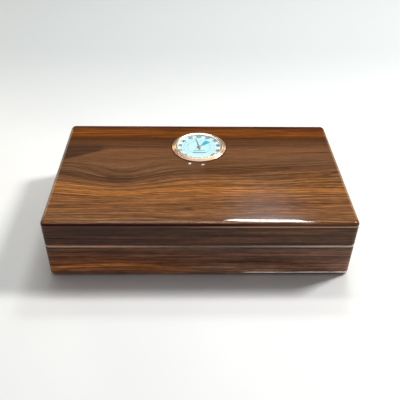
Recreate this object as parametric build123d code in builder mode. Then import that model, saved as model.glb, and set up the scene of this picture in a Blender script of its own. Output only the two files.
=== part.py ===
from build123d import *
from math import cos, radians, sin
import os

# A desk humidor: a lacquered walnut box with a cedar lining, a lid on two brass quadrant
# hinges, a dial hygrometer let into the lid, and a humidifier held under the lid by magnets.
# Frame: X along the box, +Y to the hinged back, +Z up. The origin is on the surface that the
# box stands on, below the middle of the box. All sizes are in millimetres.

os.makedirs("parts", exist_ok=True)

# --- The box ---
box_length = 250.0
box_depth = 150.0
felt_thickness = 1.0
base_height = 31.6
seam_gap = 0.4
lid_height = 23.5
wall = 8.0
bottom_thickness = 6.0
top_thickness = 6.0
corner_radius = 4.4
top_round = 2.6
bottom_round = 1.8
rim_round = 1.0
felt_inset = 4.0
felt_corner_radius = 3.0

# --- The cedar lining ---
lining = 3.0
lip_height = 4.5
lip_clearance = 0.4
lip_chamfer = 0.8
lid_lining_clearance = 0.5
divider_x = 72.0
divider_thickness = 3.0
divider_height = 23.0
divider_clearance = 0.3
divider_vent_radius = 4.0
finger_radius = 22.0
finger_depth = 5.0

# --- The quadrant hinges ---
pin_radius = 1.0
running_clearance = 0.05
knuckle_radius = 2.1
knuckle_relief = 0.3
knuckle_gap = 0.2
axis_behind = 1.5
knuckle_outer_end = 8.0
knuckle_inner_end = 30.0
base_knuckle_length = 5.0
leaf_thickness = 1.6
leaf_edge = 1.3
leaf_width = 5.5
side_arm_length = 34.0
back_arm_length = 31.0
leaf_end_radius = 2.6
leaf_corner_radius = 3.0
stay_radius = 17.0
stay_width = 3.0
stay_thickness = 1.2
stay_half_angle = 55.2
stay_head_angle = 4.0
stay_head_width = 5.0
slot_clearance = 0.3
mortise_clearance = 0.5
screw_head_radius = 1.7
screw_radius = 0.85
screw_length = 8.0
screw_tip_length = 2.0
screw_head_height = 1.0
screw_clearance = 0.05
side_screw_margin = 3.5
side_screw_pitch = 7.0
back_screw_margin = 5.0
cross_width = 0.4
cross_depth = 0.6

# --- The hygrometer ---
dial_y = 35.3
bezel_radius = 25.0
bezel_height = 2.2
bezel_rim_height = 0.6
bezel_crest_radius = 21.4
window_radius = 20.2
window_lip = 1.95
bore_radius = 23.5
sleeve_radius = 23.3
sleeve_depth = 3.0
case_radius = 22.6
case_depth = 13.0
case_skin = 0.8
lens_thickness = 0.7
lens_proud = 1.45
dial_radius = 21.7
dial_thickness = 0.5
dial_depth = 1.0
dial_ledge = 0.9
arbor_radius = 0.6
arbor_length = 13.0
needle_length = 16.0
needle_tail = 4.5
needle_thickness = 0.3
needle_root_width = 1.3
needle_tip_width = 0.3
needle_tail_width = 1.0
needle_rest_angle = 10.8
hub_radius = 2.0
coil_inner_radius = 1.5
coil_step = 1.0
coil_half_turns = 8
coil_thickness = 0.3
coil_height = 3.2
adjuster_radius = 4.0
flange_radius = 5.2
post_size = 1.2
adjuster_slot = 0.9
vent_count = 8
vent_circle = 13.5
vent_length = 9.0
vent_width = 2.4
grip_ribs = 4
grip_rib_depth = 0.4
grip_bottom = -8.5
grip_height = 5.0

# --- The humidifier ---
humidifier_y = -26.0
humidifier_length = 92.0
humidifier_width = 40.0
humidifier_height = 11.0
humidifier_corner = 5.0
humidifier_skin = 1.5
humidifier_back = 2.0
plate_length = 60.0
plate_width = 22.0
plate_thickness = 0.6
magnet_radius = 5.0
magnet_thickness = 1.6
magnet_spacing = 40.0
grille_thickness = 1.4
grille_skirt = 3.0
grille_slots = 14
grille_slot_pitch = 5.6
grille_slot_length = 26.0
grille_slot_width = 2.2
fit_clearance = 0.2

# --- Levels and faces that follow from the sizes above ---
base_bottom = felt_thickness
rim = base_bottom + base_height
lid_rim = rim + seam_gap
lid_top = lid_rim + lid_height
floor_bottom = base_bottom + bottom_thickness
floor_top = floor_bottom + lining
lip_top = rim + lip_height
ceiling_top = lid_top - top_thickness
ceiling = ceiling_top - lining
hinge_y = box_depth / 2 + axis_behind
hinge_z = (rim + lid_rim) / 2
leaf_x = box_length / 2 - leaf_edge
leaf_y = box_depth / 2 - leaf_edge
strap_front = leaf_y - leaf_width / 2
stay_x = leaf_x - leaf_width / 2
cavity_length = box_length - 2 * wall
cavity_depth = box_depth - 2 * wall
room_length = cavity_length - 2 * lining
room_depth = cavity_depth - 2 * lining
sides = ("front", "back", "left", "right")
hinge_sides = {"left": -1, "right": 1}


def save(piece, name):
    """Labels a finished piece and writes it as its own node."""
    piece.part.label = name
    export_step(piece.part, f"parts/{name}.step")


# ---------------------------------------------------------------- outlines


def mitre_strip(side):
    """Plan of one board of a mitred frame: the strip along one side, between 45 degree cuts."""
    x, y = box_length / 2, box_depth / 2
    reach = wall + lining
    corners = {
        "front": [(-x, -y), (x, -y), (x - reach, reach - y), (reach - x, reach - y)],
        "back": [(x, y), (-x, y), (reach - x, y - reach), (x - reach, y - reach)],
        "left": [(-x, y), (-x, -y), (reach - x, reach - y), (reach - x, y - reach)],
        "right": [(x, -y), (x, y), (x - reach, y - reach), (x - reach, reach - y)],
    }
    with BuildSketch() as strip:
        Polygon(corners[side])
    return strip.sketch


def leaf_outline(sign):
    """Plan of a hinge leaf: an L with round ends, let into the rim at one back corner."""
    with BuildSketch() as outline:
        Polygon(
            (sign * leaf_x, leaf_y),
            (sign * leaf_x, leaf_y - side_arm_length),
            (sign * (leaf_x - leaf_width), leaf_y - side_arm_length),
            (sign * (leaf_x - leaf_width), leaf_y - leaf_width),
            (sign * (leaf_x - back_arm_length), leaf_y - leaf_width),
            (sign * (leaf_x - back_arm_length), leaf_y),
        )
        fillet(outline.vertices().sort_by_distance((0, 0))[-1], leaf_corner_radius)
        arm_ends = outline.vertices().group_by(Axis.Y)[0]
        arm_ends += outline.vertices().group_by(Axis.X)[0 if sign > 0 else -1]
        fillet(arm_ends, leaf_end_radius)
    return outline.sketch


def ring_sector(inner, outer, start, sweep):
    """A piece of a flat ring about the hinge axis, as Y and Z. Angles are in degrees."""
    centre = (hinge_y, hinge_z)
    with BuildSketch() as sector:
        with BuildLine():
            low = CenterArc(centre, inner, start, sweep)
            high = CenterArc(centre, outer, start, sweep)
            Line(low @ 0, high @ 0)
            Line(low @ 1, high @ 1)
        make_face()
    return sector.sketch


def hinge_span(sign, near, far):
    """Start and length along X of a stretch given by its distances from the end of the box."""
    ends = sorted((sign * (box_length / 2 - near), sign * (box_length / 2 - far)))
    return ends[0], ends[1] - ends[0]


def screw_planes(sign, height, facing):
    """Planes of one leaf's three screw heads, facing up from the base or down from the lid."""
    first_y = leaf_y - side_arm_length + side_screw_margin
    places = [
        (stay_x, first_y),
        (stay_x, first_y + side_screw_pitch),
        (leaf_x - back_arm_length + back_screw_margin, strap_front),
    ]
    return [
        Plane(origin=(sign * px, py, height), x_dir=(1, 0, 0), z_dir=(0, 0, facing))
        for px, py in places
    ]


# ---------------------------------------------------------------- the walnut shell


def shell_block(bottom, height, low_round, high_round):
    """A solid block with the box's outline, its upright corners and its edges rounded."""
    with BuildPart() as block:
        with BuildSketch(Plane.XY.offset(bottom)):
            RectangleRounded(box_length, box_depth, corner_radius)
        extrude(amount=height)
        fillet(block.faces().sort_by(Axis.Z)[-1].edges(), high_round)
        fillet(block.faces().sort_by(Axis.Z)[0].edges(), low_round)
    return block.part


def hinge_mortises(sign, rim_height, facing):
    """What is cut from a rim for one hinge: leaf, knuckles, stay pocket and screw pilots."""
    head_half = stay_head_width / 2
    heel = radians(stay_half_angle + stay_head_angle)
    pocket_near = hinge_y - (stay_radius - head_half) * cos(heel) + mortise_clearance
    pocket_far = hinge_y - stay_radius - head_half - mortise_clearance
    pocket_depth = (stay_radius + head_half) * sin(heel) + mortise_clearance
    start, length = hinge_span(
        sign, knuckle_outer_end - knuckle_gap, knuckle_inner_end + knuckle_gap
    )
    leaf_floor = rim_height if facing < 0 else rim_height - leaf_thickness
    with BuildPart() as cut:
        with BuildSketch(Plane.XY.offset(leaf_floor)):
            add(leaf_outline(sign))
            with Locations((start + length / 2, (strap_front + hinge_y) / 2)):
                Rectangle(length, hinge_y - strap_front)
        extrude(amount=leaf_thickness)
        with BuildSketch(Plane.YZ.offset(start)):
            with Locations((hinge_y, hinge_z)):
                Circle(knuckle_radius + knuckle_relief)
        extrude(amount=length)
        with BuildSketch(Plane.XY.offset(hinge_z)):
            with Locations((sign * stay_x, (pocket_near + pocket_far) / 2)):
                Rectangle(stay_thickness + 2 * slot_clearance, pocket_near - pocket_far)
        extrude(amount=-facing * pocket_depth)
        with Locations(*screw_planes(sign, rim_height, facing)):
            Hole(screw_radius + screw_clearance, depth=screw_length, mode=Mode.ADD)
    return cut.part


def base_wall(side):
    """One mitred board of the base, from the bottom edge up to the rim."""
    with BuildPart() as board:
        add(shell_block(base_bottom, base_height, bottom_round, rim_round))
        with BuildSketch(Plane.XY.offset(base_bottom)):
            Rectangle(cavity_length, cavity_depth)
        extrude(amount=base_height, mode=Mode.SUBTRACT)
        extrude(mitre_strip(side), amount=rim, mode=Mode.INTERSECT)
        if side != "front":
            for sign in hinge_sides.values():
                add(hinge_mortises(sign, rim, 1), mode=Mode.SUBTRACT)
    save(board, f"base_{side}_wall")


def top_wedge():
    """The lid panel's body before its edges are rounded: its sides are mitred to the walls."""
    with BuildPart() as wedge:
        with BuildSketch(Plane.XY.offset(ceiling_top)):
            Rectangle(cavity_length, cavity_depth)
        with BuildSketch(Plane.XY.offset(lid_top)):
            Rectangle(box_length, box_depth)
        loft()
    return wedge.part


def lid_wall(side):
    """One mitred board of the lid, from the rim up to the mitre that joins it to the panel."""
    with BuildPart() as board:
        add(shell_block(lid_rim, lid_height, rim_round, top_round))
        with BuildSketch(Plane.XY.offset(lid_rim)):
            Rectangle(cavity_length, cavity_depth)
        extrude(amount=ceiling_top - lid_rim, mode=Mode.SUBTRACT)
        add(top_wedge(), mode=Mode.SUBTRACT)
        extrude(mitre_strip(side), amount=lid_top, mode=Mode.INTERSECT)
        if side != "front":
            for sign in hinge_sides.values():
                add(hinge_mortises(sign, lid_rim, -1), mode=Mode.SUBTRACT)
    save(board, f"lid_{side}_wall")


for side in sides:
    base_wall(side)
    lid_wall(side)

with BuildPart() as lid_top_panel:
    add(shell_block(lid_rim, lid_height, rim_round, top_round))
    add(top_wedge(), mode=Mode.INTERSECT)
    with BuildSketch(Plane.XY.offset(ceiling_top)):
        with Locations((0, dial_y)):
            Circle(bore_radius)
    extrude(amount=top_thickness, mode=Mode.SUBTRACT)
save(lid_top_panel, "lid_top_panel")

with BuildPart() as base_bottom_panel:
    with BuildSketch(Plane.XY.offset(base_bottom)):
        Rectangle(cavity_length, cavity_depth)
    extrude(amount=bottom_thickness)
save(base_bottom_panel, "base_bottom_panel")

with BuildPart() as base_felt:
    with BuildSketch():
        RectangleRounded(
            box_length - 2 * felt_inset, box_depth - 2 * felt_inset, felt_corner_radius
        )
    extrude(amount=felt_thickness)
save(base_felt, "base_felt")


# ---------------------------------------------------------------- the cedar lining


def base_lining_board(side):
    """One mitred cedar board of the base. Its top stands above the rim as the sealing lip."""
    with BuildPart() as board:
        with BuildSketch(Plane.XY.offset(floor_top)):
            Rectangle(cavity_length, cavity_depth)
        extrude(amount=rim - floor_top)
        with BuildSketch(Plane.XY.offset(rim)):
            Rectangle(cavity_length - 2 * lip_clearance, cavity_depth - 2 * lip_clearance)
        extrude(amount=lip_height)
        chamfer(board.faces().sort_by(Axis.Z)[-1].edges(), lip_chamfer)
        with BuildSketch(Plane.XY.offset(floor_top)):
            Rectangle(room_length, room_depth)
        extrude(amount=lip_top - floor_top, mode=Mode.SUBTRACT)
        extrude(mitre_strip(side), amount=lip_top, mode=Mode.INTERSECT)
    save(board, f"base_lining_{side}")


def lid_lining_board(side):
    """One mitred cedar board of the lid. It stops short of the base's sealing lip."""
    bottom = lip_top + lid_lining_clearance
    with BuildPart() as board:
        with BuildSketch(Plane.XY.offset(bottom)):
            Rectangle(cavity_length, cavity_depth)
            Rectangle(room_length, room_depth, mode=Mode.SUBTRACT)
        extrude(amount=ceiling - bottom)
        extrude(mitre_strip(side), amount=ceiling, mode=Mode.INTERSECT)
    save(board, f"lid_lining_{side}")


for side in sides:
    base_lining_board(side)
    lid_lining_board(side)

with BuildPart() as base_lining_floor:
    with BuildSketch(Plane.XY.offset(floor_bottom)):
        Rectangle(cavity_length, cavity_depth)
    extrude(amount=lining)
save(base_lining_floor, "base_lining_floor")

with BuildPart() as lid_lining_top:
    with BuildSketch(Plane.XY.offset(ceiling)):
        Rectangle(cavity_length, cavity_depth)
        with Locations((0, dial_y)):
            Circle(bore_radius, mode=Mode.SUBTRACT)
    extrude(amount=lining)
save(lid_lining_top, "lid_lining_top")

divider_bottom = floor_top + fit_clearance
divider_top = divider_bottom + divider_height
with BuildPart() as divider:
    with BuildSketch(Plane.YZ.offset(divider_x - divider_thickness / 2)):
        with Locations((0, divider_bottom + divider_height / 2)):
            Rectangle(room_depth - 2 * divider_clearance, divider_height)
        with Locations((0, divider_top + finger_radius - finger_depth)):
            Circle(finger_radius, mode=Mode.SUBTRACT)
        with Locations((0, divider_bottom + divider_height / 2)):
            with GridLocations(room_depth / 5, divider_height, 4, 1):
                Circle(divider_vent_radius, mode=Mode.SUBTRACT)
    extrude(amount=divider_thickness)
    chamfer(divider.faces().sort_by(Axis.Z)[-1].edges().filter_by(Axis.Y), lip_chamfer / 2)
save(divider, "divider")


# ---------------------------------------------------------------- the quadrant hinges


def hinge_leaf(name, sign, rim_height, facing, knuckles, hole_radius):
    """A brass leaf with its knuckles. The stay passes through the slot in its side arm."""
    underside = rim_height if facing < 0 else rim_height - leaf_thickness
    slot_near = hinge_y - stay_radius + stay_width / 2 + slot_clearance + 0.1
    slot_far = hinge_y - stay_radius - stay_width / 2 - slot_clearance
    with BuildPart() as leaf:
        with BuildSketch(Plane.XY.offset(underside)):
            add(leaf_outline(sign))
        extrude(amount=leaf_thickness)
        for near, far in knuckles:
            start, length = hinge_span(sign, near, far)
            with BuildSketch(Plane.YZ.offset(start)):
                with Locations(((strap_front + hinge_y) / 2, underside + leaf_thickness / 2)):
                    Rectangle(hinge_y - strap_front, leaf_thickness)
                with Locations((hinge_y, hinge_z)):
                    Circle(knuckle_radius)
            extrude(amount=length)
        start, length = hinge_span(sign, knuckle_outer_end, knuckle_inner_end)
        with BuildSketch(Plane.YZ.offset(start)):
            with Locations((hinge_y, hinge_z)):
                Circle(hole_radius)
        extrude(amount=length, mode=Mode.SUBTRACT)
        with BuildSketch(Plane.XY.offset(underside)):
            with Locations((sign * stay_x, (slot_near + slot_far) / 2)):
                Rectangle(stay_thickness + 2 * slot_clearance, slot_near - slot_far)
        extrude(amount=leaf_thickness, mode=Mode.SUBTRACT)
        with Locations(*screw_planes(sign, rim_height, facing)):
            CounterSinkHole(screw_radius + screw_clearance, screw_head_radius + screw_clearance)
    save(leaf, name)


def hinge_pin(name, sign):
    """The steel pin, as long as the three knuckles, with broken edges at its ends."""
    start, length = hinge_span(sign, knuckle_outer_end, knuckle_inner_end)
    with BuildPart() as pin:
        with BuildSketch(Plane.YZ.offset(start)):
            with Locations((hinge_y, hinge_z)):
                Circle(pin_radius)
        extrude(amount=length)
        chamfer(pin.edges().filter_by(GeomType.CIRCLE), pin_radius / 4)
    save(pin, name)


def hinge_stay(name, sign):
    """The curved stay that slides through both leaves. Its wide heads stop the lid."""
    low, high = stay_radius - stay_width / 2, stay_radius + stay_width / 2
    head_low, head_high = stay_radius - stay_head_width / 2, stay_radius + stay_head_width / 2
    with BuildPart() as stay:
        with BuildSketch(Plane.YZ.offset(sign * stay_x - stay_thickness / 2)):
            add(ring_sector(low, high, 180 - stay_half_angle, 2 * stay_half_angle))
            for start in (180 - stay_half_angle - stay_head_angle, 180 + stay_half_angle):
                add(ring_sector(head_low, head_high, start, stay_head_angle))
        extrude(amount=stay_thickness)
    save(stay, name)


def wood_screw():
    """A countersunk wood screw with a cross recess, its head face on the XY plane."""
    with BuildPart() as screw:
        with BuildSketch(Plane.XZ):
            Polygon(
                (0, 0),
                (screw_head_radius, 0),
                (screw_radius, -screw_head_height),
                (screw_radius, screw_tip_length - screw_length),
                (0, -screw_length + screw_clearance),
            )
        revolve(axis=Axis.Z)
        with BuildSketch():
            Rectangle(2 * screw_radius, cross_width)
            Rectangle(cross_width, 2 * screw_radius)
        extrude(amount=-cross_depth, mode=Mode.SUBTRACT)
    return screw.part


def hinge_screws(name, rim_height, facing):
    """All the screws of one side of both hinges, as separate solids in one node."""
    with BuildPart() as screws:
        for sign in hinge_sides.values():
            with Locations(*screw_planes(sign, rim_height, facing)):
                add(wood_screw())
    save(screws, name)


outer_base_knuckle = (knuckle_outer_end, knuckle_outer_end + base_knuckle_length)
inner_base_knuckle = (knuckle_inner_end - base_knuckle_length, knuckle_inner_end)
lid_knuckle = (outer_base_knuckle[1] + knuckle_gap, inner_base_knuckle[0] - knuckle_gap)
base_knuckles = (outer_base_knuckle, inner_base_knuckle)
for side, sign in hinge_sides.items():
    hinge_leaf(f"hinge_{side}_base_leaf", sign, rim, 1, base_knuckles, pin_radius)
    lid_hole = pin_radius + running_clearance
    hinge_leaf(f"hinge_{side}_lid_leaf", sign, lid_rim, -1, (lid_knuckle,), lid_hole)
    hinge_pin(f"hinge_{side}_pin", sign)
    hinge_stay(f"hinge_{side}_stay", sign)
hinge_screws("hinge_base_screws", rim, 1)
hinge_screws("hinge_lid_screws", lid_rim, -1)


# ---------------------------------------------------------------- the hygrometer

# Its levels are measured from the top of the lid.
dial_axis = Axis((0, dial_y, lid_top), (0, 0, 1))
dial_section = Plane(origin=(0, dial_y, lid_top), x_dir=(1, 0, 0), z_dir=(0, -1, 0))
sleeve_bore = case_radius + running_clearance
lens_bottom = lens_proud - lens_thickness
dial_bottom = -dial_depth
dial_face = dial_bottom + dial_thickness
case_floor = case_skin - case_depth
hub_bottom = dial_face + 0.15
needle_level = dial_face + 0.4
arbor_top = dial_face + 1.0
adjuster_bottom = -case_depth - 0.3
flange_bottom = case_floor + 0.1
adjuster_top = case_floor + 0.8
coil_bottom = case_floor + 3.2
coil_top = coil_bottom + coil_height
coil_end = coil_inner_radius + coil_half_turns * coil_step
collar_radius = coil_inner_radius - coil_thickness / 2 - running_clearance


def dial_plane(level):
    """A level plane centred on the dial, at a height above the top of the lid."""
    return Plane(origin=(0, dial_y, lid_top + level))


with BuildPart() as hygrometer_bezel:
    with BuildSketch(dial_section):
        with BuildLine():
            crest = (bezel_crest_radius, bezel_height)
            dome = TangentArc(crest, (bezel_radius, bezel_rim_height), tangent=(1, 0))
            Line(dome @ 1, (bezel_radius, 0))
            Polyline(
                crest,
                (window_radius, window_lip),
                (window_radius, lens_proud),
                (sleeve_bore, lens_proud),
                (sleeve_bore, -sleeve_depth),
                (sleeve_radius, -sleeve_depth),
                (sleeve_radius, 0),
                (bezel_radius, 0),
            )
        make_face()
    revolve(axis=dial_axis)
save(hygrometer_bezel, "hygrometer_bezel")

with BuildPart() as hygrometer_lens:
    with BuildSketch(dial_plane(lens_bottom)):
        Circle(case_radius)
    extrude(amount=lens_thickness)
save(hygrometer_lens, "hygrometer_lens")

with BuildPart() as hygrometer_case:
    inner = case_radius - case_skin
    with BuildSketch(dial_section):
        Polygon(
            (adjuster_radius + running_clearance, -case_depth),
            (case_radius, -case_depth),
            (case_radius, lens_bottom),
            (inner, lens_bottom),
            (inner, dial_bottom),
            (inner - dial_ledge, dial_bottom),
            (inner - dial_ledge, case_floor),
            (adjuster_radius + running_clearance, case_floor),
        )
    revolve(axis=dial_axis)
    with BuildSketch(dial_plane(-case_depth)):
        with PolarLocations(vent_circle, vent_count):
            SlotOverall(vent_length, vent_width)
    extrude(amount=case_skin, mode=Mode.SUBTRACT)
save(hygrometer_case, "hygrometer_case")

with BuildPart() as hygrometer_grip_ring:
    valley_radius = bore_radius - grip_rib_depth
    rib_pitch = grip_height / grip_ribs
    outline = [(case_radius, grip_bottom)]
    for rib in range(grip_ribs):
        foot = grip_bottom + rib * rib_pitch
        outline.append((valley_radius, foot))
        outline.append((bore_radius, foot + rib_pitch / 3))
        outline.append((bore_radius, foot + rib_pitch * 2 / 3))
    outline.append((valley_radius, grip_bottom + grip_height))
    outline.append((case_radius, grip_bottom + grip_height))
    with BuildSketch(dial_section):
        Polygon(*outline)
    revolve(axis=dial_axis)
save(hygrometer_grip_ring, "hygrometer_grip_ring")

with BuildPart() as hygrometer_dial:
    with BuildSketch(dial_plane(dial_bottom)):
        Circle(dial_radius)
        Circle(arbor_radius + running_clearance, mode=Mode.SUBTRACT)
    extrude(amount=dial_thickness)
save(hygrometer_dial, "hygrometer_dial")

with BuildPart() as hygrometer_needle:
    with BuildSketch(dial_plane(needle_level)):
        with Locations(Location((0, 0), needle_rest_angle)):
            Polygon(
                (-needle_root_width / 2, 0),
                (-needle_tip_width / 2, needle_length),
                (needle_tip_width / 2, needle_length),
                (needle_root_width / 2, 0),
                (needle_tail_width / 2, -needle_tail),
                (-needle_tail_width / 2, -needle_tail),
            )
    extrude(amount=needle_thickness)
    with BuildSketch(dial_plane(hub_bottom)):
        Circle(hub_radius)
    extrude(amount=arbor_top - hub_bottom)
    with BuildSketch(dial_plane(hub_bottom)):
        Circle(arbor_radius)
    extrude(amount=arbor_top - hub_bottom, mode=Mode.SUBTRACT)
save(hygrometer_needle, "hygrometer_needle")

with BuildPart() as hygrometer_arbor:
    with BuildSketch(dial_section):
        Polygon(
            (0, arbor_top - arbor_length),
            (arbor_radius, arbor_top - arbor_length),
            (arbor_radius, coil_bottom),
            (collar_radius, coil_bottom),
            (collar_radius, coil_top),
            (arbor_radius, coil_top),
            (arbor_radius, arbor_top),
            (0, arbor_top),
        )
    revolve(axis=dial_axis)
save(hygrometer_arbor, "hygrometer_arbor")


def coil_edge(offset):
    """One edge of the spiral ribbon: half circles about two centres, each larger by a step."""
    arcs = []
    for half_turn in range(coil_half_turns):
        centre = (coil_step * (half_turn % 2), 0)
        radius = coil_inner_radius + half_turn * coil_step + offset
        arcs.append(CenterArc(centre, radius, 180 * (half_turn % 2), 180))
    return arcs


with BuildPart() as hygrometer_coil:
    with BuildSketch(dial_plane(coil_bottom)):
        with BuildLine():
            inner_edge = coil_edge(-coil_thickness / 2)
            outer_edge = coil_edge(coil_thickness / 2)
            Line(inner_edge[0] @ 0, outer_edge[0] @ 0)
            Line(inner_edge[-1] @ 1, outer_edge[-1] @ 1)
        make_face()
    extrude(amount=coil_height)
save(hygrometer_coil, "hygrometer_coil")

with BuildPart() as hygrometer_adjuster:
    with BuildSketch(dial_plane(adjuster_bottom)):
        Circle(adjuster_radius)
    extrude(amount=adjuster_top - adjuster_bottom)
    with BuildSketch(dial_plane(flange_bottom)):
        Circle(flange_radius)
        with Locations((coil_end / 2, 0)):
            Rectangle(coil_end + post_size, 2 * post_size)
    extrude(amount=adjuster_top - flange_bottom)
    with BuildSketch(dial_plane(adjuster_top)):
        with Locations((coil_end, 0)):
            Rectangle(post_size, post_size, align=(Align.CENTER, Align.MIN))
    extrude(amount=coil_top - adjuster_top)
    with BuildSketch(dial_plane(arbor_top - arbor_length - running_clearance)):
        Circle(arbor_radius + running_clearance)
    extrude(amount=coil_bottom - adjuster_top, mode=Mode.SUBTRACT)
    with BuildSketch(dial_plane(adjuster_bottom)):
        Rectangle(1.5 * adjuster_radius, adjuster_slot)
    extrude(amount=adjuster_slot / 2, mode=Mode.SUBTRACT)
save(hygrometer_adjuster, "hygrometer_adjuster")


# ---------------------------------------------------------------- the humidifier

plate_bottom = ceiling - plate_thickness
humidifier_bottom = plate_bottom - humidifier_height


def humidifier_plane(level):
    """A level plane centred on the humidifier."""
    return Plane(origin=(0, humidifier_y, level))


def humidifier_outline(inset):
    """The humidifier's rounded outline, moved in by an inset."""
    with BuildSketch() as outline:
        RectangleRounded(
            humidifier_length - 2 * inset,
            humidifier_width - 2 * inset,
            humidifier_corner - inset,
        )
    return outline.sketch


with BuildPart() as humidifier_plate:
    with BuildSketch(humidifier_plane(plate_bottom)):
        RectangleRounded(plate_length, plate_width, 2.0)
    extrude(amount=plate_thickness)
save(humidifier_plate, "humidifier_plate")

with BuildPart() as humidifier_case:
    with BuildSketch(humidifier_plane(humidifier_bottom)):
        add(humidifier_outline(0))
    extrude(amount=humidifier_height)
    fillet(humidifier_case.faces().sort_by(Axis.Z)[0].edges(), 0.6)
    with BuildSketch(humidifier_plane(humidifier_bottom)):
        add(humidifier_outline(humidifier_skin))
    extrude(amount=humidifier_height - humidifier_back, mode=Mode.SUBTRACT)
    with BuildSketch(humidifier_plane(plate_bottom - magnet_thickness)):
        with GridLocations(magnet_spacing, 0, 2, 1):
            Circle(magnet_radius)
    extrude(amount=magnet_thickness, mode=Mode.SUBTRACT)
save(humidifier_case, "humidifier_case")

with BuildPart() as humidifier_magnets:
    with BuildSketch(humidifier_plane(plate_bottom - magnet_thickness)):
        with GridLocations(magnet_spacing, 0, 2, 1):
            Circle(magnet_radius)
    extrude(amount=magnet_thickness)
save(humidifier_magnets, "humidifier_magnets")

grille_level = humidifier_bottom + 0.3
with BuildPart() as humidifier_grille:
    with BuildSketch(humidifier_plane(grille_level)):
        add(humidifier_outline(humidifier_skin))
    extrude(amount=grille_thickness + grille_skirt)
    with BuildSketch(humidifier_plane(grille_level + grille_thickness)):
        add(humidifier_outline(humidifier_skin + 1.0))
    extrude(amount=grille_skirt, mode=Mode.SUBTRACT)
    with BuildSketch(humidifier_plane(grille_level)):
        with GridLocations(grille_slot_pitch, 0, grille_slots, 1):
            SlotOverall(grille_slot_length, grille_slot_width, rotation=90)
    extrude(amount=grille_thickness, mode=Mode.SUBTRACT)
save(humidifier_grille, "humidifier_grille")

foam_bottom = grille_level + grille_thickness
foam_top = plate_bottom - humidifier_back
with BuildPart() as humidifier_foam:
    with BuildSketch(humidifier_plane(foam_bottom)):
        add(humidifier_outline(humidifier_skin + 1.0 + fit_clearance))
    extrude(amount=foam_top - foam_bottom)
save(humidifier_foam, "humidifier_foam")
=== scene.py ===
from math import cos, pi, radians, sin

import bmesh
import bpy
from mathutils import Matrix, Vector, noise


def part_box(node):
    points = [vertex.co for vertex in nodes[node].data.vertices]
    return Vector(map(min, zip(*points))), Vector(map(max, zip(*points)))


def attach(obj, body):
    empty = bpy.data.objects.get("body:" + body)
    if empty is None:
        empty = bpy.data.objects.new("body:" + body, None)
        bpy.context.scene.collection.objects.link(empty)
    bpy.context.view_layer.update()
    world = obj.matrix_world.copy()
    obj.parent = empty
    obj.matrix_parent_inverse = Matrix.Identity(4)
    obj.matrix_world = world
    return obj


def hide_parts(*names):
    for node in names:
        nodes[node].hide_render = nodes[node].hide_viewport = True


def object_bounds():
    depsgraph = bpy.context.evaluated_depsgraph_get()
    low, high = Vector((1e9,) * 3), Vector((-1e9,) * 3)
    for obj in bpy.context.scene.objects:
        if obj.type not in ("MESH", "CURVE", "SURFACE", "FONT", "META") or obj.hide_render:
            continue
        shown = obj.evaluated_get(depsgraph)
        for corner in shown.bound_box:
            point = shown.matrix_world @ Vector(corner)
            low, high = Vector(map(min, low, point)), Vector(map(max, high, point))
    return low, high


# The looks of a lacquered walnut desk humidor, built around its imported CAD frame. Places come
# from the frame. Inside materials, and in names that end in _mm, lengths are in millimetres.

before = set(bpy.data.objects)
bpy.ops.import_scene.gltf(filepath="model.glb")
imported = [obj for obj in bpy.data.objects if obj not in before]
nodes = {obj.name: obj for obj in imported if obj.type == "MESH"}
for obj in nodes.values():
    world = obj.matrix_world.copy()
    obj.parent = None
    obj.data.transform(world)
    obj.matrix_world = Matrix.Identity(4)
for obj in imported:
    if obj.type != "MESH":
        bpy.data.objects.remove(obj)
cad_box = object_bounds()
MM = 0.001

lid_wall_low, lid_wall_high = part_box("lid_front_wall")
bezel_low, bezel_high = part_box("hygrometer_bezel")
lens_low, lens_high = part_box("hygrometer_lens")
lid_top_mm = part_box("lid_top_panel")[1].z / MM
base_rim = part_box("base_front_wall")[1].z
dial_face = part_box("hygrometer_dial")[1].z
needle_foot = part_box("hygrometer_needle")[0].z

half_length_mm = lid_wall_high.x / MM
half_depth_mm = -lid_wall_low.y / MM
seam_mm = (base_rim + lid_wall_low.z) / 2 / MM
dial_centre = Vector((0, (bezel_low.y + bezel_high.y) / 2, 0))
bezel_radius_mm = bezel_high.x / MM


# --- Colours ---

# How strongly the lights show a colour on the lid's top and on the sides, and the haze that the
# lacquer's reflections add to it.
TOP_LIGHT = 0.98
SIDE_LIGHT = 0.50
VEIL = 0.011


def linear(level):
    """The linear value of one 0-255 display level."""
    share = level / 255
    return share / 12.92 if share <= 0.04045 else ((share + 0.055) / 1.055) ** 2.4


def colour(red, green, blue):
    """A display colour as the linear colour of a shader socket."""
    return (linear(red), linear(green), linear(blue), 1)


def lit(red, green, blue, light=TOP_LIGHT):
    """The surface colour that shows as this display colour under that much light and lacquer."""
    return (*(max(0.003, (linear(v) - VEIL) / light) for v in (red, green, blue)), 1)


def scaled(shown, factor):
    """A socket colour made lighter by a factor above 1, or darker by one below it."""
    return (*(v * factor for v in shown[:3]), 1)


# --- Material nodes ---

SOCKETS = {
    "roughness": "Roughness",
    "metallic": "Metallic",
    "ior": "IOR",
    "specular": "Specular IOR Level",
    "coat": "Coat Weight",
    "coat_roughness": "Coat Roughness",
    "coat_ior": "Coat IOR",
    "coat_normal": "Coat Normal",
    "normal": "Normal",
    "colour": "Base Color",
    "sheen": "Sheen Weight",
    "sheen_roughness": "Sheen Roughness",
    "transmission": "Transmission Weight",
}


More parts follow.
